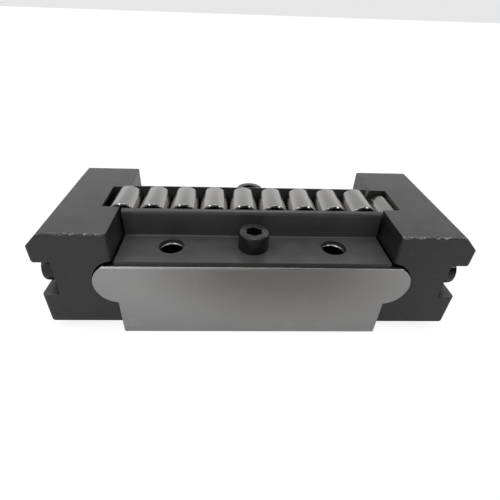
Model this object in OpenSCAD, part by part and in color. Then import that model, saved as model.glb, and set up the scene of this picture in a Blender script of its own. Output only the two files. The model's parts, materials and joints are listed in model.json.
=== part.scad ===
// Recirculating roller way for a linear guide: a ground steel raceway body, a full set of
// cylindrical rollers that runs round it, two end caps that turn the rollers, two formed
// steel retainers and their screws.
// It lies on its mounting face at z = 0, rollers up, with X along the travel.

/* [Raceway body] */
// Length of the body between its vertical ends
base_len = 87.2; // [76:0.1:110]
// Width of the body over its ground side faces
body_w = 51.7; // [47:0.1:60]
// Height from the mounting face to the roller crowns
overall_h = 40; // [38.5:0.1:46]
// Height of the raceway above the slab that carries the retainers
raceway_rise = 1.8; // [1:0.1:3]
// Radius of the round ears that the end caps fit over
ear_r = 7.65; // [7.2:0.05:8.4]
// Distance from the end of the body in to the centre of its ears
ear_inset = 0.85; // [0:0.05:1.5]
// Height that the slab's flat top cuts off the ears
ear_cut = 1; // [0:0.05:2]
// Radius of the lower corners in side view
base_corner_r = 1; // [0.3:0.1:2]
// Chamfer along the ground edges
edge_chamfer = 0.45; // [0.2:0.05:1]

/* [Rollers] */
// Diameter of a roller
roller_d = 10; // [9.6:0.05:10.2]
// Length of a roller
roller_len = 14.4; // [12:0.1:16]
// Length of a roller's tapered corner along its axis
roller_corner_len = 0.5; // [0.3:0.05:1.4]
// Depth of a roller's tapered corner at its end face
roller_corner_depth = 0.5; // [0.2:0.05:1.2]
// Gap between neighbours on the raceway
upper_gap = 0.15; // [0.1:0.05:0.4]
// Gap between neighbours in the turns
turn_gap = 0.2; // [0.1:0.05:0.4]
// Side clearance between a roller's end and the walls of its lane
lane_clearance = 0.2; // [0.15:0.05:0.5]
// Running clearance between the loaded rollers and the raceway
raceway_clearance = 0.02; // [0.01:0.01:0.05]
// Clearance round the rollers in the return passage and the turns
return_clearance = 0.15; // [0.1:0.05:0.4]

/* [Turns] */
// Radius on which the roller centres run round each end
turn_r = 10.4; // [10.2:0.05:11]
// Drop from the loaded row to the top of each turn
turn_drop = 1; // [0.6:0.1:1.4]

/* [End caps] */
// Depth of the slot along the outer face of a cap
slot_depth = 5.9; // [4.5:0.1:6.5]
// Wall between the slot and the roller turn
slot_web = 3.05; // [2:0.05:5]
// Height of the slot below the axis of its screws
slot_below = 6.6; // [5.3:0.1:7]
// Height of the slot above the axis of its screws
slot_above = 6.6; // [5.3:0.1:8]
// Floor of the cap under the roller turn
cap_floor = 3.7; // [2:0.05:4.5]
// Height of the roller crowns above the caps
crown_above_cap = 0.8; // [0.3:0.1:1]
// Setback of each cap behind the body's side faces
cap_setback = 1.3; // [0.1:0.1:1.5]
// Chamfer along the top outer edge of a cap
cap_chamfer = 4.9; // [2:0.1:6]
// Radius of the upright edges at a cap's outer end
cap_outer_edge_r = 1.2; // [0.4:0.1:2]
// Radius of the upright edges at a cap's inner end
cap_inner_edge_r = 0.8; // [0.4:0.1:3]
// Radius of the lower long edges of a cap
cap_corner_r = 1.5; // [0.3:0.1:2]
// Radius of the top long edges of a cap
cap_top_edge_r = 0.4; // [0.2:0.1:1]
// Clearance between the body's ears and their recess in the cap
ear_clearance = 0.4; // [0.1:0.05:0.6]
// Length of the notch over the rollers
notch_len = 5.8; // [4:0.1:7]
// Step on each side from the roller lane out to the notch
notch_step = 0.1; // [0.1:0.1:1]

/* [Retainers] */
// Setback of the retainers' walls behind the sides of the roller lane
wall_setback = 0.9; // [0.2:0.1:1.2]
// Thickness of the retainer sheet
sheet_t = 1.4; // [0.8:0.1:2]
// Inside radius of the retainer's bend
bend_r = 0.5; // [0.3:0.1:2]
// Depth of the retainer's lip below the roller crowns
lip_drop = 0.9; // [0.4:0.1:1.5]
// Width of the flat left on top of the retainer's round lip
lip_land = 0.1; // [0.1:0.05:0.5]
// Setback of the ledge behind the body's side face
ledge_setback = 1.1; // [0.1:0.1:1.5]
// Gap between each end of a retainer and the cap
retainer_end_gap = 0.8; // [0.2:0.1:1]

/* [Fixings] */
// Distance between the mounting holes along the travel
mount_spacing_x = 53; // [40:0.5:60]
// Distance from the foot of a retainer's bend out to its fixings
fixing_offset = 5.75; // [5.5:0.05:8]
// Diameter of the mounting holes in the body
mount_hole_d = 7; // [5:0.1:7]
// Diameter of the mounting holes in the retainers
ledge_hole_d = 8.2; // [7.7:0.1:9]
// Countersink at the top of each mounting hole in the body
mount_hole_chamfer = 0.3; // [0.2:0.05:0.5]
// Distance from the body's side faces in to the cap screws
cap_screw_inset = 8.85; // [8:0.05:9.5]
// Height of the cap screws above the centre of the ears
cap_screw_rise = 0.75; // [0:0.05:2]
// Depth of the spot face under each cap screw's head
spot_face = 0.8; // [0.2:0.1:1]

/* [Screws] */
// Thread diameter of the socket cap screws
screw_d = 6; // [5:0.1:6]
// Head diameter of the socket cap screws
screw_head_d = 9.8; // [8.5:0.1:10]
// Width across the flats of the hexagon socket
socket_af = 4.6; // [4:0.1:5]
// Length of the retainer screws under the head
retainer_screw_len = 12; // [8:1:16]
// Length of the cap screws under the head
cap_screw_len = 20; // [16:1:22]

/* [Hidden] */
$fn = 96;
eps = 0.01;
over = 1;

roller_r = roller_d / 2;
base_half = base_len / 2;
loaded_z = overall_h - roller_r;
raceway_z = loaded_z - roller_r - raceway_clearance;
slab_top = overall_h - roller_d - raceway_rise;
ear_x = base_half - ear_inset;
ear_z = slab_top + ear_cut - ear_r;
lane_half = roller_len / 2 + lane_clearance;
rib_clearance = 0.1;
wall_inner_y = lane_half + wall_setback;
rib_half = wall_inner_y - rib_clearance;

turn_z = loaded_z - turn_drop - turn_r;
return_z = turn_z - turn_r;
guide_r = turn_r - roller_r - return_clearance;
race_r = turn_r + roller_r + return_clearance;

cap_top = overall_h - crown_above_cap;
cap_bottom = turn_z - race_r - cap_floor;
cap_w = body_w - 2 * cap_setback;
slot_wall_x = base_half + race_r + slot_web;
cap_outer_x = slot_wall_x + slot_depth;
cap_screw_y = body_w / 2 - cap_screw_inset;
cap_screw_z = ear_z + cap_screw_rise;
cap_seat_x = slot_wall_x - spot_face;
slot_floor = cap_screw_z - slot_below;
slot_ceiling = cap_screw_z + slot_above;

wall_outer_y = wall_inner_y + sheet_t;
fixing_y = wall_outer_y + bend_r + fixing_offset;
ledge_top = slab_top + sheet_t;
ledge_front_y = body_w / 2 - ledge_setback;
lip_top = overall_h - lip_drop;
lip_r = sheet_t - lip_land;

screw_clearance_d = screw_d * 1.1;
thread_clearance = 0.05;
spot_face_margin = 0.5;
tapped_depth = 2;
screw_edge = screw_d / 10;
socket_depth = screw_d / 2;

// Spacing of the rollers round the loop
upper_pitch = roller_d + upper_gap;
upper_count = floor(base_len / upper_pitch) + 1;
turn_step = 2 * asin((roller_d + turn_gap) / (2 * turn_r));
turn_arc = turn_r * turn_step * PI / 180;
run_out = base_len - (upper_count - 1) * upper_pitch;
path_angle = (upper_pitch + turn_gap - run_out) / turn_r * 180 / PI;
corner_h = raceway_z - turn_z;
corner_r = roller_r + return_clearance;
corner_angle = acos((turn_r * turn_r + corner_h * corner_h - corner_r * corner_r) / (2 * turn_r * corner_h));
right_first = max(path_angle, corner_angle);
right_count = floor((180 - right_first) / turn_step) + 1;
left_first = turn_step;
left_count = floor((180 - left_first) / turn_step) + 1;
right_last = right_first + (right_count - 1) * turn_step;
left_last = left_first + (left_count - 1) * turn_step;
lower_first_x = base_half + turn_r * (180 - right_last) * PI / 180 - turn_arc;
lower_span = lower_first_x + base_half + turn_r * sin(left_last);
lower_count = floor(lower_span / (roller_d + 2 * turn_gap));
lower_pitch = lower_span / lower_count;

// Extrudes a side view, drawn in X and Z, across the width
module across(width) rotate([90, 0, 0]) linear_extrude(width, center = true) children();

// Extrudes an end view, drawn in Y and Z, along the travel
module along(length) rotate([90, 0, 90]) linear_extrude(length, center = true) children();

// The waste of a square corner at the origin, so that what is left is round
module corner_waste(r) {
    difference() {
        translate([-over, -over]) square(r + over);
        translate([r, r]) circle(r);
    }
}

// A bar across the width, such as a race or a recess
module cross_bar(r, half_width) rotate([90, 0, 0]) cylinder(r = r, h = 2 * half_width, center = true);

// A socket cap screw with its seat at z = 0 and its thread downwards
module cap_screw(length) {
    head_r = screw_head_d / 2;
    shank_r = screw_d / 2;
    difference() {
        rotate_extrude()
            polygon([[0, -length], [shank_r - screw_edge, -length], [shank_r, -length + screw_edge],
                     [shank_r, 0], [head_r, 0], [head_r, screw_d - screw_edge],
                     [head_r - screw_edge, screw_d], [0, screw_d]]);
        translate([0, 0, screw_d - socket_depth])
            cylinder(r = socket_af / sqrt(3), h = socket_depth + over, $fn = 6);
        translate([0, 0, screw_d - socket_depth - socket_af / 6])
            cylinder(r1 = eps, r2 = socket_af / 2, h = socket_af / 6 + eps);
    }
}

module body_side_view() {
    difference() {
        union() {
            translate([-base_half, 0]) square([base_len, raceway_z]);
            for (side = [-1, 1]) translate([side * ear_x, ear_z]) circle(ear_r);
        }
        for (side = [0, 1]) mirror([side, 0]) translate([-base_half, 0]) corner_waste(base_corner_r);
    }
}

module body_end_view() {
    half = body_w / 2;
    polygon([[-half + edge_chamfer, 0], [half - edge_chamfer, 0], [half, edge_chamfer],
             [half, slab_top - edge_chamfer], [half - edge_chamfer, slab_top],
             [rib_half, slab_top], [rib_half, raceway_z], [-rib_half, raceway_z], [-rib_half, slab_top],
             [-half + edge_chamfer, slab_top], [-half, slab_top - edge_chamfer], [-half, edge_chamfer]]);
}

// The part of the ears that gives way to the rollers, round the guide nose between them
module turn_lane() {
    difference() {
        translate([base_half, -lane_half, return_z - roller_r])
            cube([ear_r, 2 * lane_half, raceway_z - return_z + roller_r + over]);
        translate([base_half, 0, turn_z]) cross_bar(guide_r, lane_half + over);
    }
}

module return_passage() {
    height = roller_d + 2 * return_clearance;
    translate([0, 0, return_z]) cube([base_len + 2 * over, 2 * lane_half, height], center = true);
}

module mounting_hole() {
    hole_r = mount_hole_d / 2;
    translate([0, 0, -over]) cylinder(r = hole_r, h = slab_top + 2 * over);
    translate([0, 0, slab_top - mount_hole_chamfer])
        cylinder(r1 = hole_r, r2 = hole_r + mount_hole_chamfer + eps, h = mount_hole_chamfer + eps);
}

module raceway_body() {
    tapped_r = screw_d / 2 + thread_clearance;
    color("darkgray")
    difference() {
        union() {
            intersection() {
                across(body_w) body_side_view();
                along(2 * (ear_x + ear_r)) body_end_view();
            }
            for (side = [-1, 1]) translate([side * base_half, 0, turn_z]) cross_bar(guide_r, lane_half);
        }
        for (side = [0, 1]) mirror([side, 0, 0]) turn_lane();
        return_passage();
        for (x = [-1, 1], y = [-1, 1])
            translate([x * mount_spacing_x / 2, y * fixing_y, 0]) mounting_hole();
        for (y = [-1, 1])
            translate([0, y * fixing_y, ledge_top - retainer_screw_len - tapped_depth])
                cylinder(r = tapped_r, h = retainer_screw_len + tapped_depth);
        for (x = [0, 1], y = [-1, 1])
            mirror([x, 0, 0])
                translate([cap_seat_x - cap_screw_len - tapped_depth, y * cap_screw_y, cap_screw_z])
                    rotate([0, 90, 0]) cylinder(r = tapped_r, h = cap_screw_len + tapped_depth);
    }
}

module cap_side_view() {
    difference() {
        polygon([[base_half, cap_bottom], [cap_outer_x, cap_bottom],
                 [cap_outer_x, cap_top - cap_chamfer], [cap_outer_x - cap_chamfer, cap_top],
                 [base_half, cap_top]]);
        translate([slot_wall_x, slot_floor]) square([slot_depth + over, slot_ceiling - slot_floor]);
        for (z = [cap_bottom, slot_ceiling])
            translate([cap_outer_x, z]) mirror([1, 0]) corner_waste(cap_corner_r);
    }
}

module cap_plan_view() {
    length = cap_outer_x - base_half;
    difference() {
        translate([base_half, -cap_w / 2]) square([length, cap_w]);
        for (y = [0, 1]) mirror([0, y]) {
            translate([base_half, -cap_w / 2]) corner_waste(cap_inner_edge_r);
            translate([cap_outer_x, -cap_w / 2]) mirror([1, 0]) corner_waste(cap_outer_edge_r);
        }
    }
}

module cap_end_view() {
    difference() {
        translate([-cap_w / 2, cap_bottom]) square([cap_w, cap_top - cap_bottom]);
        for (y = [0, 1]) mirror([y, 0]) translate([cap_w / 2, cap_top]) rotate(180) corner_waste(cap_top_edge_r);
    }
}

// The right-hand end cap; the left-hand one is its mirror image
module end_cap() {
    notch_half = lane_half + notch_step;
    difference() {
        intersection() {
            across(cap_w) cap_side_view();
            linear_extrude(cap_top) cap_plan_view();
            along(2 * cap_outer_x) cap_end_view();
        }
        translate([ear_x, 0, ear_z]) cross_bar(ear_r + ear_clearance, cap_w);
        translate([base_half, 0, turn_z]) cross_bar(race_r, lane_half);
        translate([base_half - over, -notch_half, turn_z])
            cube([notch_len + over, 2 * notch_half, cap_top - turn_z + over]);
        for (y = [-1, 1])
            translate([0, y * cap_screw_y, cap_screw_z]) rotate([0, 90, 0]) {
                cylinder(d = screw_clearance_d, h = cap_outer_x);
                translate([0, 0, cap_seat_x]) cylinder(r = screw_head_d / 2 + spot_face_margin, h = slot_depth);
            }
    }
}

module left_end_cap() color("dimgray") mirror([1, 0, 0]) end_cap();

module right_end_cap() color("dimgray") end_cap();

// Section of the front retainer: ledge, bend and upright wall with a round lip
module retainer_section() {
    bend_y = wall_outer_y + bend_r;
    outer_bend = bend_r + sheet_t;
    difference() {
        union() {
            translate([wall_inner_y, slab_top]) square([ledge_front_y - wall_inner_y, sheet_t]);
            translate([wall_inner_y, slab_top]) square([sheet_t, lip_top - slab_top]);
            translate([wall_inner_y, slab_top]) square([outer_bend, outer_bend]);
        }
        translate([bend_y, ledge_top + bend_r]) circle(bend_r);
        translate([wall_outer_y, ledge_top + bend_r]) square([outer_bend, outer_bend]);
        translate([bend_y, ledge_top]) square([outer_bend, outer_bend]);
        translate([wall_inner_y, slab_top]) corner_waste(outer_bend);
        translate([wall_outer_y, lip_top]) rotate(180) corner_waste(lip_r);
    }
}

// The rear retainer; the front one is its mirror image
module retainer() {
    difference() {
        along(base_len - 2 * retainer_end_gap) retainer_section();
        for (x = [-1, 1])
            translate([x * mount_spacing_x / 2, fixing_y, slab_top - over])
                cylinder(d = ledge_hole_d, h = sheet_t + 2 * over);
        translate([0, fixing_y, slab_top - over]) cylinder(d = screw_clearance_d, h = sheet_t + 2 * over);
    }
}

module front_retainer() color("#3c3c3c") mirror([0, 1, 0]) retainer();

module rear_retainer() color("#3c3c3c") retainer();

module retainer_screw(side) color("#202020") translate([0, side * fixing_y, ledge_top]) cap_screw(retainer_screw_len);

module front_retainer_screw() retainer_screw(-1);

module rear_retainer_screw() retainer_screw(1);

// A screw of an end cap, with x_side and y_side 1 or -1
module end_cap_screw(x_side, y_side) {
    color("#202020")
    translate([x_side * cap_seat_x, y_side * cap_screw_y, cap_screw_z])
        rotate([0, x_side * 90, 0]) cap_screw(cap_screw_len);
}

module left_front_cap_screw() end_cap_screw(-1, -1);

module left_rear_cap_screw() end_cap_screw(-1, 1);

module right_front_cap_screw() end_cap_screw(1, -1);

module right_rear_cap_screw() end_cap_screw(1, 1);

module roller_at(x, z) {
    end = roller_len / 2;
    shoulder = end - roller_corner_len;
    face_r = roller_r - roller_corner_depth;
    color("silver")
    translate([x, 0, z]) rotate([90, 0, 0]) rotate_extrude()
        polygon([[0, -end], [face_r, -end], [roller_r, -shoulder], [roller_r, shoulder], [face_r, end], [0, end]]);
}

// A roller in a turn: side is 1 at the right, angle counts from the top of the turn
module turn_roller(side, angle) {
    roller_at(side * (base_half + turn_r * sin(angle)), turn_z + turn_r * cos(angle));
}

// Loaded rollers, numbered from the left
module upper_roller(i) roller_at(-base_half + (i - 1) * upper_pitch, loaded_z);

// Rollers in the right-hand turn, numbered downwards
module right_turn_roller(i) turn_roller(1, right_first + (i - 1) * turn_step);

// Returning rollers, numbered from the right
module lower_roller(i) roller_at(lower_first_x - (i - 1) * lower_pitch, return_z);

// Rollers in the left-hand turn, numbered upwards
module left_turn_roller(i) turn_roller(-1, left_first + (left_count - i) * turn_step);

raceway_body();
left_end_cap();
right_end_cap();
front_retainer();
rear_retainer();
front_retainer_screw();
rear_retainer_screw();
left_front_cap_screw();
left_rear_cap_screw();
right_front_cap_screw();
right_rear_cap_screw();
for (i = [1:upper_count]) upper_roller(i);
for (i = [1:right_count]) right_turn_roller(i);
for (i = [1:lower_count]) lower_roller(i);
for (i = [1:left_count]) left_turn_roller(i);
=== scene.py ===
"""Looks of a recirculating roller bearing for a linear guide.

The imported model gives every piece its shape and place. This script gives each piece its finish,
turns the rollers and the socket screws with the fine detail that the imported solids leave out, and
sets the studio round them. All lengths are in metres, with Z up and X along the travel.
"""

import json
import logging
import math
from collections.abc import Callable
from dataclasses import dataclass, field
from enum import Enum
from typing import ClassVar

import bmesh
import bpy
from mathutils import Matrix, Vector

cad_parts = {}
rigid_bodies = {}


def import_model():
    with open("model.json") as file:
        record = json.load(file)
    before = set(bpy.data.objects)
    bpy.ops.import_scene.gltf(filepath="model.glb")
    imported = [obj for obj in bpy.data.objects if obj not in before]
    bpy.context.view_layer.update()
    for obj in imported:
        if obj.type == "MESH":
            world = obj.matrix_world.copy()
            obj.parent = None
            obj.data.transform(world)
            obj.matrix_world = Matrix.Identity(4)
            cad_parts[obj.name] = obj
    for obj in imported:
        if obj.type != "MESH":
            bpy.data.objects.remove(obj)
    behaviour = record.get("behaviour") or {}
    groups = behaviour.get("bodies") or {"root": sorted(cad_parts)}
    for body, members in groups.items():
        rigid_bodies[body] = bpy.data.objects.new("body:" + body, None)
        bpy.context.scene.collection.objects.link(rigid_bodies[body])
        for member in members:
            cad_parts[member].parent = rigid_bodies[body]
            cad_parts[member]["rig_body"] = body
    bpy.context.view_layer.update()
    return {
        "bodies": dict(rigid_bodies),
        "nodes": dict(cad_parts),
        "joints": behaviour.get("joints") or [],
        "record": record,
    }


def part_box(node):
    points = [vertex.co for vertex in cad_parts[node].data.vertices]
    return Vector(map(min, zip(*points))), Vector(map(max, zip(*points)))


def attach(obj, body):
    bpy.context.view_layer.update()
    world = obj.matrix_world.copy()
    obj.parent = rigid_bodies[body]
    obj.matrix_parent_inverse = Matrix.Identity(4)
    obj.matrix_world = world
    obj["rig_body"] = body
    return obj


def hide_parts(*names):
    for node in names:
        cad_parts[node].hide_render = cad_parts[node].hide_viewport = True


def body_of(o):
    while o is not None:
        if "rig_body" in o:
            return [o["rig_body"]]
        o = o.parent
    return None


log = logging.getLogger("roller_bearing")

MM = 0.001
Colour = tuple[float, float, float, float]
Triple = tuple[float, float, float]
Span = tuple[float, float]
Socket = bpy.types.NodeSocket


def grey(level: float, warmth: float = 0.0) -> Colour:
    """Returns a grey of that level, redder and less blue by the share given as warmth."""
    return (level * (1 + warmth), level, level * (1 - warmth), 1.0)


class Side(Enum):
    """An end of the bearing along the travel, or a side of it across the travel."""

    LEFT = "left"
    RIGHT = "right"
    FRONT = "front"
    REAR = "rear"


class Lay(Enum):
    """The way that the lines left by a grinding wheel run, as how much each axis counts."""

    ALONG = (0.04, 1.0, 1.0)
    ROUND = (0.0, 1.0, 0.0)


class Lamp(Enum):
    """The lamps of the studio, as Blender's own kinds."""

    SKY = "SUN"
    GLINT = "AREA"


class Graph:
    """Adds nodes to a shader tree and joins their sockets."""

    def __init__(self, tree: bpy.types.NodeTree) -> None:
        """Takes the tree that the nodes go into."""
        self.tree = tree

    def feed(self, node: bpy.types.Node, values: dict[int | str, object]) -> None:
        """Gives a node's inputs their values.

        Args:
            node: the node.
            values: for each input, a socket to join to it or a constant.
        """
        for key, value in values.items():
            if isinstance(value, Socket):
                self.tree.links.new(value, node.inputs[key])
            else:
                node.inputs[key].default_value = value

    def add(self, kind: str, values: dict[int | str, object] | None = None,
            **settings: object) -> bpy.types.Node:
        """Adds one node.

        Args:
            kind: the node's type, without the ShaderNode that starts its full name.
            values: for each input, a socket to join to it or a constant.
            settings: properties of the node itself.

        Returns:
            The new node.
        """
        node = self.tree.nodes.new("ShaderNode" + kind)
        for name, value in settings.items():
            setattr(node, name, value)
        self.feed(node, values or {})
        return node

    def maths(self, operation: str, first: Socket | float, second: Socket | float = 0.0,
              clamp: bool = False) -> Socket:
        """Joins one or two numbers by arithmetic.

        Args:
            operation: the arithmetic, in the node's own word for it.
            first: the first number.
            second: the second number, where the operation takes two.
            clamp: whether the result is held between 0 and 1.

        Returns:
            The socket that holds the result.
        """
        values = {0: first, 1: second}
        return self.add("Math", values, operation=operation, use_clamp=clamp).outputs[0]

    def vectors(self, operation: str, first: Socket,
                second: Socket | Triple = (0.0, 0.0, 0.0)) -> Socket:
        """Joins one or two vectors by arithmetic.

        Args:
            operation: the arithmetic, in the node's own word for it.
            first: the first vector.
            second: the second vector, where the operation takes two.

        Returns:
            The socket that holds the result, which is a number for a length or a dot product.
        """
        node = self.add("VectorMath", {0: first, 1: second}, operation=operation)
        return node.outputs["Value" if operation in ("DOT_PRODUCT", "LENGTH") else "Vector"]

    def axes(self, vector: Socket) -> list[Socket]:
        """Returns a vector's three numbers, for X, Y and Z."""
        return list(self.add("SeparateXYZ", {0: vector}).outputs)

    def ramp(self, value: Socket, start: float | Socket, stop: float | Socket) -> Socket:
        """Returns a mask that rises smoothly from 0 at start to 1 at stop."""
        values = {"Value": value, "From Min": start, "From Max": stop}
        return self.add("MapRange", values, interpolation_type="SMOOTHSTEP").outputs["Result"]

    def mix(self, share: Socket | float, first: Socket | Colour,
            second: Socket | Colour) -> Socket:
        """Returns the colour that turns from the first to the second with the share."""
        # The Mix node takes its colours as inputs 6 and 7 and its numbers as inputs 2 and 3.
        return self.add("Mix", {0: share, 6: first, 7: second}, data_type="RGBA").outputs[2]

    def blend(self, share: Socket, first: Socket | float, second: Socket | float) -> Socket:
        """Returns the number that turns from the first to the second with the share."""
        return self.add("Mix", {0: share, 2: first, 3: second}, data_type="FLOAT").outputs[0]

    def noise(self, place: Socket, scale: float | Socket, detail: float, rough: float) -> Socket:
        """Returns cloudy noise between 0 and 1 at a place, with scale in lumps per metre."""
        values = {"Vector": place, "Scale": scale, "Detail": detail, "Roughness": rough}
        return self.add("TexNoise", values).outputs[0]

    def place(self) -> Socket:
        """Returns the place on the piece in its own frame."""
        return self.add("TexCoord").outputs["Object"]

    def group(self, tree: bpy.types.NodeTree, values: dict[int | str, object]) -> bpy.types.Node:
        """Places an effect group with its own values and returns its node."""
        return self.add("Group", values, node_tree=tree)


def effect(name: str, takes: dict[str, str],
           gives: dict[str, str]) -> tuple[Graph, dict[str, Socket], bpy.types.Node]:
    """Starts a node group with named sockets.

    Args:
        name: the group's name.
        takes: the name of each input and its kind, such as Float, Vector or Color.
        gives: the same for each output.

    Returns:
        The group's graph, its inputs by name, and the node that takes its outputs.
    """
    tree = bpy.data.node_groups.new(name, "ShaderNodeTree")
    for way, sockets in (("INPUT", takes), ("OUTPUT", gives)):
        for label, kind in sockets.items():
            tree.interface.new_socket(label, in_out=way, socket_type="NodeSocket" + kind)
    source = tree.nodes.new("NodeGroupInput")
    sink = tree.nodes.new("NodeGroupOutput")
    return Graph(tree), {label: source.outputs[label] for label in takes}, sink


def edge_wear() -> bpy.types.NodeTree:
    """Makes the effect of edges rubbed down to bare metal.

    Returns:
        A group that takes the reach of an edge in metres, the share of it that is rubbed and the
        breaks in it per metre, and gives a mask of the bare metal and the normal of the rounded
        edge.
    """
    bend_from, bend_to = 0.015, 0.12
    softness = 0.12
    g, takes, sink = effect(
        "worn_edge",
        {"Reach": "Float", "Coverage": "Float", "Breaks": "Float"},
        {"Mask": "Float", "Normal": "Vector"},
    )
    round_normal = g.add("Bevel", {"Radius": takes["Reach"]}, samples=6).outputs[0]
    true_normal = g.add("NewGeometry").outputs["Normal"]
    along = g.vectors("DOT_PRODUCT", round_normal, true_normal)
    edge = g.ramp(g.maths("SUBTRACT", 1.0, along), bend_from, bend_to)
    speckle = g.noise(g.place(), takes["Breaks"], detail=6.0, rough=0.7)
    limit = g.maths("SUBTRACT", 1.0, takes["Coverage"])
    rubbed = g.ramp(speckle, g.maths("SUBTRACT", limit, softness), g.maths("ADD", limit, softness))
    g.feed(sink, {"Mask": g.maths("MULTIPLY", edge, rubbed), "Normal": round_normal})
    return g.tree


def tool_lines() -> bpy.types.NodeTree:
    """Makes the effect of the fine lines that a grinding wheel leaves.

    Returns:
        A group that takes the lay of the lines and their number per metre, and gives a height and
        a tone, both between 0 and 1.
    """
    broad_per_fine = 0.12
    trough_tone = 0.6
    g, takes, sink = effect(
        "tool_lines",
        {"Lay": "Vector", "Lines": "Float"},
        {"Height": "Float", "Tone": "Float"},
    )
    place = g.vectors("MULTIPLY", g.place(), takes["Lay"])
    fine = g.noise(place, takes["Lines"], detail=3.0, rough=0.7)
    broad_lines = g.maths("MULTIPLY", takes["Lines"], broad_per_fine)
    broad = g.noise(place, broad_lines, detail=2.0, rough=0.5)
    tone = g.blend(fine, g.maths("MULTIPLY", broad, trough_tone), broad)
    g.feed(sink, {"Height": fine, "Tone": tone})
    return g.tree


def mottle() -> bpy.types.NodeTree:
    """Makes the effect of an uneven bath: clouds, a fine grain and pale smudges.

    Returns:
        A group that takes the clouds per metre, and gives a cloud value around 0.5, a fine grain
        and a mask of the smudges.
    """
    grains_per_cloud = 40.0
    streaks_per_cloud = 2.3
    streak_stretch = (1.0, 0.35, 1.0)
    smudge_from, smudge_to = 0.56, 0.72
    g, takes, sink = effect(
        "mottle",
        {"Clouds": "Float"},
        {"Cloud": "Float", "Grain": "Float", "Smudge": "Float"},
    )
    cloud = g.noise(g.place(), takes["Clouds"], detail=3.0, rough=0.5)
    grains = g.maths("MULTIPLY", takes["Clouds"], grains_per_cloud)
    grain = g.noise(g.place(), grains, detail=4.0, rough=0.65)
    streaks = g.maths("MULTIPLY", takes["Clouds"], streaks_per_cloud)
    streak_place = g.vectors("MULTIPLY", g.place(), streak_stretch)
    streak = g.noise(streak_place, streaks, detail=5.0, rough=0.6)
    smudge = g.ramp(streak, smudge_from, smudge_to)
    g.feed(sink, {"Cloud": cloud, "Grain": grain, "Smudge": smudge})
    return g.tree


def dust_and_top_light() -> bpy.types.NodeTree:
    """Makes the faces that look up lighter in lumps, partly as settled dust and partly as painted
    light from above.

    Returns:
        A group that takes the clouds per metre and gives a mask of the dust and painted top light.
    """
    slope_from, slope_to = 0.6, 0.95
    lump_from, lump_to = 0.2, 0.7
    g, takes, sink = effect("dust_and_top_light", {"Clouds": "Float"}, {"Mask": "Float"})
    up = g.axes(g.add("TexCoord").outputs["Normal"])[2]
    lumps = g.noise(g.place(), takes["Clouds"], detail=5.0, rough=0.6)
    # Faces that look up are picked out to be lighter, partly as settled dust and partly as painted
    # light from above.
    level_faces = g.ramp(up, slope_from, slope_to)
    g.feed(sink, {"Mask": g.maths("MULTIPLY", level_faces, g.ramp(lumps, lump_from, lump_to))})
    return g.tree


def soft_box() -> bpy.types.NodeTree:
    """Makes a mask that is 1 in a box and in its mirror images about both upright mid planes.

    Returns:
        A group that takes the box's centre, its half sizes and the width of the fade outside it,
        and gives the mask.
    """
    g, takes, sink = effect(
        "soft_box",
        {"Centre": "Vector", "Half": "Vector", "Fade": "Float"},
        {"Mask": "Float"},
    )
    mirrored = g.vectors("ABSOLUTE", g.place())
    off = g.vectors("ABSOLUTE", g.vectors("SUBTRACT", mirrored, takes["Centre"]))
    x, y, z = g.axes(g.vectors("SUBTRACT", off, takes["Half"]))
    most = g.maths("MAXIMUM", g.maths("MAXIMUM", x, y), z)
    outside = g.maths("DIVIDE", most, takes["Fade"], clamp=True)
    g.feed(sink, {"Mask": g.maths("SUBTRACT", 1.0, outside)})
    return g.tree


@dataclass
class Effects:
    """The effect groups that the finishes share, each built once."""

    edge_wear: bpy.types.NodeTree = field(default_factory=edge_wear)
    tool_lines: bpy.types.NodeTree = field(default_factory=tool_lines)
    mottle: bpy.types.NodeTree = field(default_factory=mottle)
    soft_box: bpy.types.NodeTree = field(default_factory=soft_box)
    dust_and_top_light: bpy.types.NodeTree = field(default_factory=dust_and_top_light)


def new_material(name: str) -> tuple[bpy.types.Material, Graph, bpy.types.Node]:
    """Starts a material.

    Args:
        name: the material's name.

    Returns:
        The material, its graph and its Principled shader.
    """
    material = bpy.data.materials.new(name)
    material.use_nodes = True
    return material, Graph(material.node_tree), material.node_tree.nodes["Principled BSDF"]


def varied(g: Graph, share: Socket, roughness: float) -> Socket:
    """Returns a roughness that runs with the share from a little under to a little over its own."""
    spread = 0.15
    return g.blend(share, roughness * (1 - spread), roughness * (1 + spread))


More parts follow.
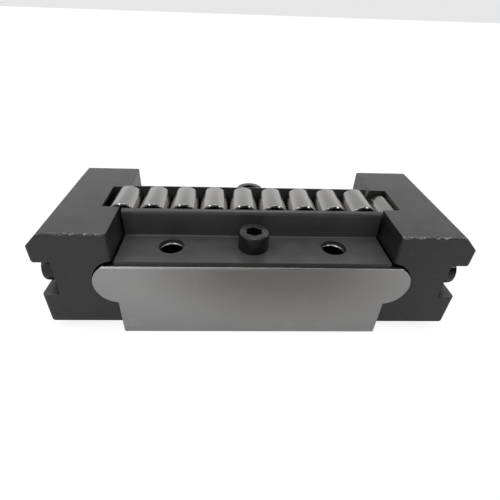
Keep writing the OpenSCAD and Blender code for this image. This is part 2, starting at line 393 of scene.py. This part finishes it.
@dataclass(frozen=True)
class BareSteel:
    """Ground or lapped bare steel with fine tool lines.

    Attributes:
        name: the material's name.
        level: how bright the steel is, from 0 to 1.
        warmth: how far its grey leans to red.
        roughness: how far it blurs what it reflects.
        lay: the way that the tool lines run.
        lines: tool lines per metre.
        depth: height of the lines in metres.
        streak: how much the tone changes from line to line.
        edge_reach: width of a broken edge in metres.
        rub: share of the edges that is polished bright.
        bore_at: distance of the drilled holes' axes from both mid planes, or None without holes.
        bore_r: radius of those holes.
        shade_at: middle of the box in which painted shade darkens the steel too, besides the walls
            of the drilled holes.
        shade_half: half sizes of that box.
    """

    # The near-black colour of the painted shade, with its share and its fade in the box and on the
    # hole walls.
    PAINTED_SHADE: ClassVar[Colour] = grey(0.006)
    SHADE_SHARE: ClassVar[float] = 0.75
    SHADE_FADE: ClassVar[float] = 0.1 * MM
    BORE_SHADE_SHARE: ClassVar[float] = 0.93
    BORE_SHADE_FADE: ClassVar[Span] = (0.01 * MM, 0.06 * MM)
    CLOUD_TONE: ClassVar[float] = 1.1
    SMEAR_TONE: ClassVar[float] = 1.25
    SMEAR_SHARE: ClassVar[float] = 0.5
    POLISH_TONE: ClassVar[float] = 2.2
    POLISH_LIMIT: ClassVar[float] = 0.75

    name: str
    level: float
    warmth: float
    roughness: float
    lay: Lay
    lines: float
    depth: float
    streak: float
    edge_reach: float
    rub: float
    shade_at: Triple
    shade_half: Triple
    bore_at: Triple | None = None
    bore_r: float = 0.0

    def painted_shade(self, g: Graph, effects: Effects) -> Socket:
        """Finds the places, such as the walls of the drilled holes, that are darkened as painted
        shade.

        Args:
            g: the material's graph.
            effects: the effect groups.

        Returns:
            A mask of those places.
        """
        # Painted shade: the marked box and the walls of the drilled holes, where little light
        # reaches, are picked out to be darkened.
        box = {"Centre": self.shade_at, "Half": self.shade_half, "Fade": self.SHADE_FADE}
        shade_box = g.group(effects.soft_box, box)
        box_shade = g.maths("MULTIPLY", shade_box.outputs["Mask"], self.SHADE_SHARE)
        if self.bore_at is None:
            return box_shade
        off = g.vectors("SUBTRACT", g.vectors("ABSOLUTE", g.place()), self.bore_at)
        reach = g.vectors("LENGTH", g.vectors("MULTIPLY", off, (1.0, 1.0, 0.0)))
        fade_from, fade_to = self.BORE_SHADE_FADE
        bulk = g.ramp(reach, self.bore_r + fade_from, self.bore_r + fade_to)
        wall = g.maths("MULTIPLY", g.maths("SUBTRACT", 1.0, bulk), self.BORE_SHADE_SHARE)
        return g.maths("MAXIMUM", wall, box_shade)

    def build(self, effects: Effects) -> bpy.types.Material:
        """Makes the material for this finish.

        Args:
            effects: the effect groups.

        Returns:
            The material.
        """
        material, g, shader = new_material(self.name)
        lines = g.group(effects.tool_lines, {"Lay": self.lay.value, "Lines": self.lines})
        clouds = g.group(effects.mottle, {"Clouds": 45.0})
        wear = {"Reach": self.edge_reach, "Coverage": self.rub, "Breaks": 900.0}
        worn = g.group(effects.edge_wear, wear)

        dark = grey(self.level * (1 - self.streak), self.warmth)
        light = grey(self.level * (1 + self.streak), self.warmth)
        cloud = grey(self.level * self.CLOUD_TONE, self.warmth)
        smeared = grey(self.level * self.SMEAR_TONE, self.warmth)
        polished = grey(min(self.POLISH_LIMIT, self.level * self.POLISH_TONE), self.warmth)
        tone = g.mix(lines.outputs["Tone"], dark, light)
        tone = g.mix(clouds.outputs["Cloud"], tone, cloud)
        smear = g.maths("MULTIPLY", clouds.outputs["Smudge"], self.SMEAR_SHARE)
        tone = g.mix(smear, tone, smeared)
        tone = g.mix(worn.outputs["Mask"], tone, polished)
        # Painted shade: the marked box and the walls of the drilled holes turn nearly black here.
        tone = g.mix(self.painted_shade(g, effects), tone, self.PAINTED_SHADE)

        relief = {"Strength": 0.5, "Distance": self.depth, "Height": lines.outputs["Height"],
                  "Normal": worn.outputs["Normal"]}
        g.feed(shader, {
            "Base Color": tone,
            "Metallic": 1.0,
            "Roughness": varied(g, lines.outputs["Tone"], self.roughness),
            "Normal": g.add("Bump", relief).outputs[0],
        })
        return material


@dataclass(frozen=True)
class DarkOxide:
    """Black oxide on steel, with bare metal where an edge or a patch is rubbed.

    Attributes:
        name: the material's name.
        level: how bright the oxide is, from 0 to 1.
        warmth: how far its grey leans to red.
        roughness: how far it blurs what it reflects.
        specular: strength of its sheen, where 0.5 is plain.
        smudge: how far the pale smudges show.
        grain: height of its fine grain in metres.
        edge_reach: width of a broken edge in metres.
        rub: share of the edges that shows bare metal.
        top_dust_and_light: how much brighter the faces that look up are, partly as settled dust and
            partly as painted light from above.
        fleck_at: middle of the strip along an edge that is worn in flecks.
        fleck_half: half sizes of that strip.
        fleck_share: share of the strip that shows bare metal.
    """

    BARE: ClassVar[Colour] = grey(0.42, 0.01)
    BARE_METALLIC: ClassVar[float] = 0.9
    TONE_SPREAD: ClassVar[float] = 0.18
    LIGHT_WARMTH: ClassVar[float] = 0.5
    SMUDGE_TONE: ClassVar[float] = 1.5
    FLECK_STRETCH: ClassVar[Triple] = (0.4, 1.0, 1.0)
    FLECKS: ClassVar[float] = 1900.0
    FLECK_RAMP: ClassVar[Span] = (0.66, 0.78)
    FLECK_GAIN: ClassVar[float] = 0.3

    name: str
    level: float
    warmth: float
    roughness: float
    specular: float
    smudge: float
    grain: float
    edge_reach: float
    rub: float
    top_dust_and_light: float
    fleck_at: Triple = (0.0, 0.0, 0.0)
    fleck_half: Triple = (0.0, 0.0, 0.0)
    fleck_share: float = 0.0

    def flecked(self, g: Graph, effects: Effects) -> Socket:
        """Finds the flecks of bare metal along the worn edge.

        Args:
            g: the material's graph.
            effects: the effect groups.

        Returns:
            A mask of the flecks.
        """
        box = {"Centre": self.fleck_at, "Half": self.fleck_half, "Fade": 0.3 * MM}
        strip = g.group(effects.soft_box, box)
        streak = g.vectors("MULTIPLY", g.place(), self.FLECK_STRETCH)
        speckle = g.noise(streak, self.FLECKS, detail=4.0, rough=0.7)
        start, stop = (edge - self.FLECK_GAIN * self.fleck_share for edge in self.FLECK_RAMP)
        return g.maths("MULTIPLY", strip.outputs["Mask"], g.ramp(speckle, start, stop))

    def build(self, effects: Effects) -> bpy.types.Material:
        """Makes the material for this finish.

        Args:
            effects: the effect groups.

        Returns:
            The material.
        """
        material, g, shader = new_material(self.name)
        clouds = g.group(effects.mottle, {"Clouds": 110.0})
        wear = {"Reach": self.edge_reach, "Coverage": self.rub, "Breaks": 1100.0}
        worn = g.group(effects.edge_wear, wear)
        bare = g.maths("MAXIMUM", worn.outputs["Mask"], self.flecked(g, effects))

        # The faces that look up turn lighter, partly as settled dust and partly as painted light
        # from above.
        top_lit_level = self.level + self.top_dust_and_light
        dark = grey(self.level * (1 - self.TONE_SPREAD), self.warmth)
        light = grey(self.level * (1 + self.TONE_SPREAD), self.warmth * self.LIGHT_WARMTH)
        tone = g.mix(clouds.outputs["Cloud"], dark, light)
        dust_and_light = g.group(effects.dust_and_top_light, {"Clouds": 160.0})
        tone = g.mix(dust_and_light.outputs["Mask"], tone, grey(top_lit_level, self.warmth))
        smudge = g.maths("MULTIPLY", clouds.outputs["Smudge"], self.smudge)
        tone = g.mix(smudge, tone, grey(top_lit_level * self.SMUDGE_TONE, self.warmth))

        relief = {"Strength": 0.35, "Distance": self.grain, "Height": clouds.outputs["Grain"],
                  "Normal": worn.outputs["Normal"]}
        g.feed(shader, {
            "Base Color": g.mix(bare, tone, self.BARE),
            "Metallic": g.maths("MULTIPLY", bare, self.BARE_METALLIC),
            "Roughness": varied(g, clouds.outputs["Grain"], self.roughness),
            "Specular IOR Level": self.specular,
            "Normal": g.add("Bump", relief).outputs[0],
        })
        return material


def dress(piece: bpy.types.Object, material: bpy.types.Material) -> None:
    """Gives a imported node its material, in the slots that its mesh already has.

    Args:
        piece: the node's object.
        material: the material.
    """
    for holder in piece.material_slots:
        holder.link = "OBJECT"
        holder.material = material


def break_edges(piece: bpy.types.Object, width: float, same: float = 0.002 * MM,
                flat: float = math.radians(0.5), sharp: float = math.radians(28)) -> None:
    """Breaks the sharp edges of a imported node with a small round, as a file or a tumbler does.

    Args:
        piece: the node's object.
        width: width of the round in metres.
        same: distance under which two points are one.
        flat: angle under which neighbouring faces are one.
        sharp: angle above which an edge is broken.
    """
    weld = piece.modifiers.new("weld", "WELD")
    weld.merge_threshold = same
    merge = piece.modifiers.new("flat", "DECIMATE")
    merge.decimate_type = "DISSOLVE"
    merge.angle_limit = flat
    edge = piece.modifiers.new("edge", "BEVEL")
    edge.width = width
    edge.segments = 2
    edge.limit_method = "ANGLE"
    edge.angle_limit = sharp
    edge.harden_normals = True
    normals = piece.modifiers.new("normals", "WEIGHTED_NORMAL")
    normals.keep_sharp = True


def loft(name: str, rings: list[list[Vector]],
         sharp: float = math.radians(35)) -> bpy.types.Object:
    """Makes a closed piece from rings of equal counts, with both ends capped.

    Args:
        name: the piece's name.
        rings: the rings in order, each a closed loop.
        sharp: the angle above which an edge stays crisp.

    Returns:
        The new object.
    """
    mesh = bpy.data.meshes.new(name)
    bm = bmesh.new()
    loops = [[bm.verts.new(point) for point in ring] for ring in rings]
    count = len(rings[0])
    for lower, upper in zip(loops, loops[1:]):
        for i in range(count):
            j = (i + 1) % count
            bm.faces.new((lower[i], lower[j], upper[j], upper[i]))
    for ring in (loops[0], loops[-1]):
        middle = bm.verts.new(sum((v.co for v in ring), Vector()) / count)
        for i in range(count):
            bm.faces.new((ring[i], ring[(i + 1) % count], middle))
    bmesh.ops.recalc_face_normals(bm, faces=bm.faces)
    for face in bm.faces:
        face.smooth = True
    for edge in bm.edges:
        edge.smooth = edge.calc_face_angle(0.0) < sharp
    bm.to_mesh(mesh)
    bm.free()
    piece = bpy.data.objects.new(name, mesh)
    bpy.context.scene.collection.objects.link(piece)
    return piece


def circle(radius: float | Callable[[float], float], height: float, count: int) -> list[Vector]:
    """Makes a ring about Z.

    Args:
        radius: the radius, or a function that gives it for an angle.
        height: the ring's height.
        count: the number of points.

    Returns:
        The ring's points.
    """
    angles = [2 * math.pi * i / count for i in range(count)]
    reach = radius if callable(radius) else lambda angle: radius
    return [Vector((reach(a) * math.cos(a), reach(a) * math.sin(a), height)) for a in angles]


@dataclass
class RacewayBody:
    """The ground steel block that carries the loaded rollers.

    Attributes:
        node: the block's node.
        finish: its finish. Painted shade darkens the raceway under the rollers and the walls of the
            mounting holes.
    """

    node: str = "raceway_body"
    finish: BareSteel = BareSteel(
        name="ground_body_steel",
        level=0.45,
        warmth=0.005,
        roughness=0.3,
        lay=Lay.ALONG,
        lines=9000.0,
        depth=0.004 * MM,
        streak=0.05,
        edge_reach=0.25 * MM,
        rub=0.6,
        # Painted shade on the raceway under the rollers and in the mounting holes.
        shade_at=(0.0, 0.0, 30.0 * MM),
        shade_half=(44 * MM, 8.1 * MM, 1.0 * MM),
        bore_at=(26.5 * MM, 15.95 * MM, 0.0),
        bore_r=3.5 * MM,
    )

    def build(self, frame: dict, effects: Effects) -> list[bpy.types.Object]:
        """Dresses the block.

        Args:
            frame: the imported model.
            effects: the effect groups.

        Returns:
            The block.
        """
        piece = frame["nodes"][self.node]
        dress(piece, self.finish.build(effects))
        return [piece]


@dataclass
class EndCap:
    """A black-oxide end cap that turns the rollers.

    Attributes:
        side: the end of the bearing that it closes.
        level: how bright its oxide is.
        warmth: how far the oxide's grey leans to red.
        smudge: how far its pale smudges show.
        edge: width of the round that breaks its edges.
        front_edge: middle of its top front edge, which is worn in flecks.
        edge_half: half sizes of the strip with the flecks.
    """

    side: Side
    level: float
    warmth: float
    smudge: float
    edge: float = 0.25 * MM
    front_edge: Triple = (0.0, 24.3 * MM, 39.1 * MM)
    edge_half: Triple = (80 * MM, 0.35 * MM, 0.3 * MM)

    def finish(self) -> DarkOxide:
        """Returns the cap's finish."""
        return DarkOxide(
            name=f"black_oxide_{self.side.value}",
            level=self.level,
            warmth=self.warmth,
            roughness=0.34,
            specular=0.75,
            smudge=self.smudge,
            grain=0.02 * MM,
            edge_reach=0.3 * MM,
            rub=0.3,
            top_dust_and_light=0.025,
            fleck_at=self.front_edge,
            fleck_half=self.edge_half,
            fleck_share=0.5,
        )

    def build(self, frame: dict, effects: Effects) -> list[bpy.types.Object]:
        """Dresses the cap and breaks its edges.

        Args:
            frame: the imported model.
            effects: the effect groups.

        Returns:
            The cap.
        """
        piece = frame["nodes"][f"{self.side.value}_end_cap"]
        dress(piece, self.finish().build(effects))
        break_edges(piece, self.edge)
        return [piece]


@dataclass
class Retainer:
    """A formed sheet retainer with its ledge and its upright wall.

    Attributes:
        side: the side of the bearing that it stands on.
    """

    side: Side

    def finish(self) -> DarkOxide:
        """Returns the sheet's finish."""
        return DarkOxide(
            name=f"formed_sheet_{self.side.value}",
            level=0.055,
            warmth=-0.005,
            roughness=0.32,
            specular=0.7,
            smudge=0.25,
            grain=0.008 * MM,
            edge_reach=0.15 * MM,
            rub=0.33,
            top_dust_and_light=0.02,
        )

    def build(self, frame: dict, effects: Effects) -> list[bpy.types.Object]:
        """Dresses the retainer.

        Args:
            frame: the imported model.
            effects: the effect groups.

        Returns:
            The retainer.
        """
        piece = frame["nodes"][f"{self.side.value}_retainer"]
        dress(piece, self.finish().build(effects))
        return [piece]


@dataclass
class SocketScrew:
    """A socket cap screw with a fine knurl round its head and a rolled thread.

    Its own frame has the seat of the head at z = 0 and the thread downwards.

    Attributes:
        node: the node that it replaces.
        seat: where the seat of its head is in the bearing's frame.
        axis: the way from the thread to the head.
        length: length under the head.
        head_d: diameter of the head.
        head_h: height of the head.
        head_foot: width of the chamfer under the head.
        rim: radius of the head's top edge.
        rim_steps: flats round that edge.
        knurls: grooves round the head.
        knurl_depth: depth of a groove.
        knurl_from: height at which the grooves start.
        knurl_fade: height over which they deepen, and fade again under the rim.
        socket_af: width of the socket across its flats.
        socket_depth: depth of the socket.
        mouth: width of the chamfer round its mouth.
        drill_share: radius of the drilled hollow in its floor, as a share of its width.
        drill_depth: depth of that hollow.
        thread_d: diameter over the thread.
        thread_depth: depth of the thread.
        pitch: pitch of the thread.
        thread_steps: rings to a turn of the thread.
        thread_end: share of the thread in which it runs out under the head.
        tip: length of the point under the thread.
        neck: length without thread under the head.
        points: points in a ring.
    """

    node: str
    seat: Triple
    axis: Triple
    length: float
    head_d: float = 9.8 * MM
    head_h: float = 6 * MM
    head_foot: float = 0.25 * MM
    rim: float = 0.55 * MM
    rim_steps: int = 6
    knurls: int = 60
    knurl_depth: float = 0.07 * MM
    knurl_from: float = 0.2 * MM
    knurl_fade: float = 0.3 * MM
    socket_af: float = 4.6 * MM
    socket_depth: float = 3 * MM
    mouth: float = 0.2 * MM
    drill_share: float = 0.3
    drill_depth: float = 0.5 * MM
    thread_d: float = 6 * MM
    thread_depth: float = 0.55 * MM
    pitch: float = 1 * MM
    thread_steps: int = 6
    thread_end: float = 0.25
    tip: float = 0.6 * MM
    neck: float = 0.3 * MM
    points: int = 240

    def hexagon(self, across: float, height: float) -> list[Vector]:
        """Makes a ring on a hexagon.

        Args:
            across: the hexagon's width across its flats.
            height: the ring's height.

        Returns:
            The ring's points.
        """
        def reach(angle: float) -> float:
            """Returns the distance of the hexagon from its middle at an angle."""
            off = (angle + math.pi / 6) % (math.pi / 3) - math.pi / 6
            return across / 2 / math.cos(off)
        return circle(reach, height, self.points)

    def knurled(self, height: float, share: float) -> list[Vector]:
        """Makes a ring round the knurled head.

        Args:
            height: the ring's height.
            share: share of the knurl's depth that is cut there.

        Returns:
            The ring's points.
        """
        def reach(angle: float) -> float:
            """Returns the head's radius at an angle."""
            groove = 0.5 + 0.5 * math.cos(self.knurls * angle)
            return self.head_d / 2 - self.knurl_depth * share * groove
        return circle(reach, height, self.points)

    def threaded(self, height: float, share: float) -> list[Vector]:
        """Makes a ring of the thread.

        Args:
            height: the ring's height.
            share: share of the thread's depth that is cut there.

        Returns:
            The ring's points.
        """
        def reach(angle: float) -> float:
            """Returns the thread's radius at an angle."""
            phase = (height / self.pitch - angle / (2 * math.pi)) % 1.0
            return self.thread_d / 2 - self.thread_depth * share * abs(2 * phase - 1)
        return circle(reach, height, self.points)

    def shank(self) -> list[list[Vector]]:
        """Makes the rings of the thread.

        Returns:
            The rings from the point up to the neck under the head.
        """
        steps = int(self.length / self.pitch * self.thread_steps)
        start, run = self.tip - self.length, self.length - self.tip - self.neck
        rings = [circle(self.thread_d / 2 - self.thread_depth, -self.length, self.points)]
        for i in range(steps + 1):
            done = i / steps
            rings.append(self.threaded(start + run * done, min(1.0, (1 - done) / self.thread_end)))
        return rings

    def head(self) -> list[list[Vector]]:
        """Makes the rings of the head and its socket.

        Returns:
            The rings from the seat, over the rim, to the floor of the socket.
        """
        n, radius, top = self.points, self.head_d / 2, self.head_h
        shoulder, floor = top - self.rim, top - self.socket_depth
        outer = [
            circle(self.thread_d / 2, 0.0, n),
            circle(radius - self.head_foot, 0.0, n),
            self.knurled(self.knurl_from, 0.0),
            self.knurled(self.knurl_from + self.knurl_fade, 1.0),
            self.knurled(shoulder - self.knurl_fade, 1.0),
            self.knurled(shoulder, 0.0),
        ]
        turns = [math.pi / 2 * k / self.rim_steps for k in range(1, self.rim_steps + 1)]
        corner = [
            circle(radius - self.rim * (1 - math.cos(a)), shoulder + self.rim * math.sin(a), n)
            for a in turns
        ]
        inner = [
            self.hexagon(self.socket_af + 2 * self.mouth, top),
            self.hexagon(self.socket_af, top - self.mouth),
            self.hexagon(self.socket_af, floor),
            circle(self.socket_af * self.drill_share, floor - self.drill_depth, n),
        ]
        return outer + corner + inner

    def build(self, frame: dict, material: bpy.types.Material) -> list[bpy.types.Object]:
        """Builds the screw in place of its plain solid.

        Args:
            frame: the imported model.
            material: the screw's material.

        Returns:
            The screw.
        """
        piece = loft(f"{self.node}_turned", self.shank() + self.head())
        turn = Vector((0, 0, 1)).rotation_difference(Vector(self.axis)).to_matrix().to_4x4()
        piece.data.transform(Matrix.Translation(self.seat) @ turn)
        piece.data.materials.append(material)
        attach(piece, body_of(frame["nodes"][self.node])[0])
        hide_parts(self.node)
        return [piece]


@dataclass
class ScrewSet:
    """The socket cap screws of the retainers and the end caps.

    Attributes:
        retainer_length: length under the head of a retainer's screw.
        cap_length: the same of a cap's screw.
        finish: the finish of them all.
    """

    retainer_length: float = 12 * MM
    cap_length: float = 20 * MM
    finish: DarkOxide = DarkOxide(
        name="black_screw_steel",
        level=0.003,
        warmth=0.03,
        roughness=0.15,
        specular=0.7,
        smudge=0.1,
        grain=0.004 * MM,
        edge_reach=0.12 * MM,
        rub=0.1,
        top_dust_and_light=0.045,
    )

    def build(self, frame: dict, effects: Effects) -> list[bpy.types.Object]:
        """Builds the six screws.

        Args:
            frame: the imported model.
            effects: the effect groups.

        Returns:
            The screws.
        """
        material = self.finish.build(effects)
        head = SocketScrew.head_h
        pieces = []
        for node in sorted(name for name in frame["nodes"] if name.endswith("_screw")):
            low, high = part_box(node)
            x, y, z = (Vector(low) + Vector(high)) / 2
            if "retainer" in node:
                seat, axis, length = (x, y, high[2] - head), (0, 0, 1), self.retainer_length
            elif node.startswith(Side.LEFT.value):
                seat, axis, length = (low[0] + head, y, z), (-1, 0, 0), self.cap_length
            else:
                seat, axis, length = (high[0] - head, y, z), (1, 0, 0), self.cap_length
            pieces += SocketScrew(node, seat, axis, length).build(frame, material)
        return pieces


@dataclass
class RollerSet:
    """The full set of cylindrical rollers, turned with round corners.

    Attributes:
        corner_depth: depth of a roller's corner at its end face.
        corner_round: radius of the round between the side and the corner.
        corner_slope: slope of the corner against the side.
        corner_steps: flats round the round.
        points: points in a ring.
        finish: the finish of them all. Painted shade darkens the end faces.
    """

    corner_depth: float = 0.5 * MM
    corner_round: float = 0.3 * MM
    corner_slope: float = math.radians(48)
    corner_steps: int = 6
    points: int = 96
    finish: BareSteel = BareSteel(
        name="lapped_roller_steel",
        level=0.42,
        warmth=0.015,
        roughness=0.2,
        lay=Lay.ROUND,
        lines=14000.0,
        depth=0.002 * MM,
        streak=0.03,
        edge_reach=0.1 * MM,
        rub=0.0,
        # Painted shade on both end faces of every roller.
        shade_at=(0.0, 7.4 * MM, 20 * MM),
        shade_half=(80 * MM, 0.45 * MM, 25 * MM),
    )

    def rings(self, radius: float, half: float) -> list[list[Vector]]:
        """Makes the rings of a roller about Z.

        Args:
            radius: the roller's radius.
            half: half of its length.

        Returns:
            The rings from one end face to the other.
        """
        turn, slope = self.corner_round, self.corner_slope
        drop = self.corner_depth - turn * (1 - math.cos(slope))
        start = half - drop / math.tan(slope) - turn * math.sin(slope)
        tilts = [slope * k / self.corner_steps for k in range(self.corner_steps + 1)]
        arc = [(radius - turn * (1 - math.cos(t)), start + turn * math.sin(t)) for t in tilts]
        arc.append((radius - self.corner_depth, half))
        profile = [(r, -h) for r, h in reversed(arc)] + arc
        return [circle(r, h, self.points) for r, h in profile]

    def build(self, frame: dict, effects: Effects) -> list[bpy.types.Object]:
        """Builds every roller in place of its plain solid.

        Args:
            frame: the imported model.
            effects: the effect groups.

        Returns:
            The rollers.
        """
        material = self.finish.build(effects)
        upright = Matrix.Rotation(math.pi / 2, 4, "X")
        pieces = []
        for node in sorted(name for name in frame["nodes"] if "_roller_" in name):
            low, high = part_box(node)
            middle = (Vector(low) + Vector(high)) / 2
            rings = self.rings((high[2] - low[2]) / 2, (high[1] - low[1]) / 2)
            piece = loft(f"{node}_turned", rings)
            piece.data.transform(Matrix.Translation(middle) @ upright)
            piece.data.materials.append(material)
            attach(piece, body_of(frame["nodes"][node])[0])
            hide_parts(node)
            pieces.append(piece)
        return pieces


@dataclass
class CameraRig:
    """The camera, set to the photograph's viewing angle.

    Attributes:
        position: the lens in the bearing's frame.
        yaw: turn of the view to the right of straight ahead, in degrees.
        pitch: tilt of the view below the horizon, in degrees.
        roll: turn of the view about its own axis, in degrees.
        lens: focal length in millimetres.
        sensor: width of the sensor in millimetres.
        shift: shift of the frame, in frame widths.
        near: distance from which it sees.
    """

    position: Triple = (-8.684 * MM, -112.636 * MM, 95.325 * MM)
    yaw: float = 2.616
    pitch: float = 35.805
    roll: float = 2.087
    lens: float = 25.8141
    sensor: float = 36.0
    shift: Span = (0.02046, 0.01373)
    near: float = 5 * MM

    def build(self) -> None:
        """Adds the camera to the scene."""
        data = bpy.data.cameras.new("camera")
        data.lens = self.lens
        data.sensor_width = self.sensor
        data.shift_x, data.shift_y = self.shift
        data.clip_start = self.near
        camera = bpy.data.objects.new("camera", data)
        camera.matrix_world = (
            Matrix.Translation(self.position)
            @ Matrix.Rotation(-math.radians(self.yaw), 4, "Z")
            @ Matrix.Rotation(math.radians(90 - self.pitch), 4, "X")
            @ Matrix.Rotation(math.radians(self.roll), 4, "Z")
        )
        bpy.context.scene.collection.objects.link(camera)
        bpy.context.scene.camera = camera


@dataclass
class Studio:
    """A plain pale floor, soft light from above and two small glints.

    Attributes:
        floor_half: half of the floor's side.
        floor_drop: how far the floor lies below the bearing, so that their faces don't fight.
        floor_bounce: how much of its light the floor sends on to dull surfaces.
        floor_front: how pale the floor before the bearing is in reflections.
        floor_back: the same behind it.
        floor_turn: where along Y the one turns into the other.
        stand_level: how pale the floor is in reflections where the camera's stand dims it.
        stand_warmth: how far that grey leans to red.
        stand_centre: middle of that dim patch.
        stand_half: half sizes of that patch.
        stand_fade: where the patch starts to fade and where it ends, as shares of its size.
        floor_shown: how much the floor's shade shows to the camera.
        floor_lift: what is added to the floor, so that the camera sees it as white.
        room_grey: grey of the room, by which its levels below count.
        ambient: level of the even light on dull surfaces.
        room_left: level of the room before the bearing in reflections, on its left.
        room_right: the same on its right.
        room_across: where along X the one turns into the other, in the direction looked in.
        room_low: level of the room behind the bearing in reflections, low down.
        room_back: the same from halfway up.
        room_up: where along Z the one turns into the other, in the direction looked in.
        room_depth: where along Y the room's front turns into its back, in that direction.
        overhead: level of the panel overhead in reflections.
        overhead_from: direction from the origin to the panel.
        overhead_rim: cosines of the angles at which the panel starts and is full.
        backdrop: level of the room to the camera.
        sun_strength: strength of the broad light from above.
        sun_spread: its width across the sky, in degrees.
        sun_from: direction from the origin to it.
        glint_from: directions from the origin to the small lamps.
        glint_distance: their distance from the origin.
        glint_size: their diameter.
        glint_power: their power in watts.
    """

    floor_half: float = 3.0
    floor_drop: float = 0.05 * MM
    floor_bounce: float = 0.08
    floor_front: float = 0.66
    floor_back: float = 0.9
    floor_turn: Span = (-20 * MM, 30 * MM)
    stand_level: float = 0.26
    stand_warmth: float = 0.06
    stand_centre: Triple = (14 * MM, -68 * MM, 0.0)
    stand_half: Triple = (62 * MM, 38 * MM, 1.0)
    stand_fade: Span = (0.3, 1.2)
    floor_shown: float = 0.22
    floor_lift: float = 0.88
    room_grey: float = 0.8
    ambient: float = 0.04
    room_left: float = 0.75
    room_right: float = 0.12
    room_across: Span = (-0.35, 0.25)
    room_low: float = 1.0
    room_back: float = 0.68
    room_up: Span = (0.32, 0.52)
    room_depth: Span = (-0.1, 0.3)
    overhead: float = 4.2
    overhead_from: Triple = (0.05, 0.03, 0.998)
    overhead_rim: Span = (0.965, 0.985)
    backdrop: float = 1.0
    sun_strength: float = 2.3
    sun_spread: float = 90.0
    sun_from: Triple = (0.03, -0.13, 1.0)
    glint_from: tuple[Triple, ...] = ((0.51, -0.40, 0.76), (-0.39, -0.44, 0.81))
    glint_distance: float = 0.6
    glint_size: float = 0.06
    glint_power: float = 0.16

    def lamp(self, name: str, kind: Lamp, toward: Triple, distance: float) -> bpy.types.Object:
        """Adds a lamp that shines on the origin.

        Args:
            name: the lamp's name.
            kind: the lamp's kind.
            toward: direction from the origin to the lamp.
            distance: distance of the lamp from the origin.

        Returns:
            The lamp.
        """
        lamp = bpy.data.objects.new(name, bpy.data.lights.new(name, kind.value))
        way = Vector(toward).normalized()
        aim = way.to_track_quat("Z", "Y").to_matrix().to_4x4()
        lamp.matrix_world = Matrix.Translation(way * distance) @ aim
        bpy.context.scene.collection.objects.link(lamp)
        return lamp

    def build_world(self) -> None:
        """Sets a dim even world that is a pale room in reflections and to the camera."""
        world = bpy.data.worlds.new("studio")
        world.use_nodes = True
        world.node_tree.nodes.clear()
        g = Graph(world.node_tree)
        path = g.add("LightPath")
        way = g.add("TexCoord").outputs["Generated"]
        x, y, z = g.axes(way)
        front = g.blend(g.ramp(x, *self.room_across), self.room_left, self.room_right)
        back = g.blend(g.ramp(z, *self.room_up), self.room_low, self.room_back)
        seen = g.blend(g.ramp(y, *self.room_depth), front, back)
        above = g.vectors("DOT_PRODUCT", way, self.overhead_from)
        seen = g.blend(g.ramp(above, *self.overhead_rim), seen, self.overhead)
        room = g.blend(path.outputs["Is Glossy Ray"], self.ambient, seen)
        level = g.blend(path.outputs["Is Camera Ray"], room, self.backdrop)
        light = g.add("Background", {"Color": grey(self.room_grey), "Strength": level})
        g.add("OutputWorld", {"Surface": light.outputs[0]})
        bpy.context.scene.world = world

    def floor_reflected(self, g: Graph) -> Socket:
        """Makes the floor's colour in reflections.

        Args:
            g: the graph of the floor's material.

        Returns:
            The colour, pale and dimmed by the camera's stand.
        """
        off = g.vectors("SUBTRACT", g.place(), self.stand_centre)
        away = g.vectors("LENGTH", g.vectors("DIVIDE", off, self.stand_half))
        behind = g.ramp(g.axes(g.place())[1], *self.floor_turn)
        open_floor = g.mix(behind, grey(self.floor_front), grey(self.floor_back))
        stand = grey(self.stand_level, self.stand_warmth)
        return g.mix(g.ramp(away, *self.stand_fade), stand, open_floor)

    def build_floor(self) -> None:
        """Adds the pale floor, which keeps the bearing's shadow."""
        mesh = bpy.data.meshes.new("floor")
        h, z = self.floor_half, -self.floor_drop
        mesh.from_pydata([(-h, -h, z), (h, -h, z), (h, h, z), (-h, h, z)], [], [(0, 1, 2, 3)])
        floor = bpy.data.objects.new("floor", mesh)
        bpy.context.scene.collection.objects.link(floor)
        material = bpy.data.materials.new("floor")
        material.use_nodes = True
        material.node_tree.nodes.clear()
        g = Graph(material.node_tree)
        path = g.add("LightPath")
        dull = g.add("BsdfDiffuse", {"Color": grey(self.floor_bounce)})
        mirrored = g.add("BsdfDiffuse", {"Color": self.floor_reflected(g)})
        shade = g.add("BsdfDiffuse", {"Color": grey(self.floor_shown)})
        lift = g.add("Emission", {"Strength": self.floor_lift})
        shown = g.add("AddShader", {0: shade.outputs[0], 1: lift.outputs[0]})
        room = g.add("MixShader", {0: path.outputs["Is Glossy Ray"], 1: dull.outputs[0],
                                   2: mirrored.outputs[0]})
        both = g.add("MixShader", {0: path.outputs["Is Camera Ray"], 1: room.outputs[0],
                                   2: shown.outputs[0]})
        g.add("OutputMaterial", {"Surface": both.outputs[0]})
        mesh.materials.append(material)

    def build(self) -> None:
        """Adds the world, the floor and the lamps."""
        self.build_world()
        self.build_floor()
        sky = self.lamp("sky", Lamp.SKY, self.sun_from, 1.0)
        sky.data.energy = self.sun_strength
        sky.data.angle = math.radians(self.sun_spread)
        sky.visible_glossy = False
        for i, toward in enumerate(self.glint_from):
            glint = self.lamp(f"glint_{i + 1}", Lamp.GLINT, toward, self.glint_distance)
            glint.data.shape = "DISK"
            glint.data.size = self.glint_size
            glint.data.energy = self.glint_power


def main() -> None:
    """Builds the studio and every sub-assembly."""
    logging.basicConfig(level=logging.INFO, format="%(name)s: %(message)s")
    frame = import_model()
    bpy.context.scene.view_settings.view_transform = "Standard"
    CameraRig().build()
    Studio().build()
    effects = Effects()
    parts = [
        RacewayBody(),
        EndCap(Side.LEFT, level=0.036, warmth=-0.01, smudge=0.2),
        EndCap(Side.RIGHT, level=0.02, warmth=0.04, smudge=0.35),
        Retainer(Side.FRONT),
        Retainer(Side.REAR),
        ScrewSet(),
        RollerSet(),
    ]
    for part in parts:
        for piece in part.build(frame, effects):
            log.info("%s: %d faces", piece.name, len(piece.data.polygons))


if __name__ == "__main__":
    main()
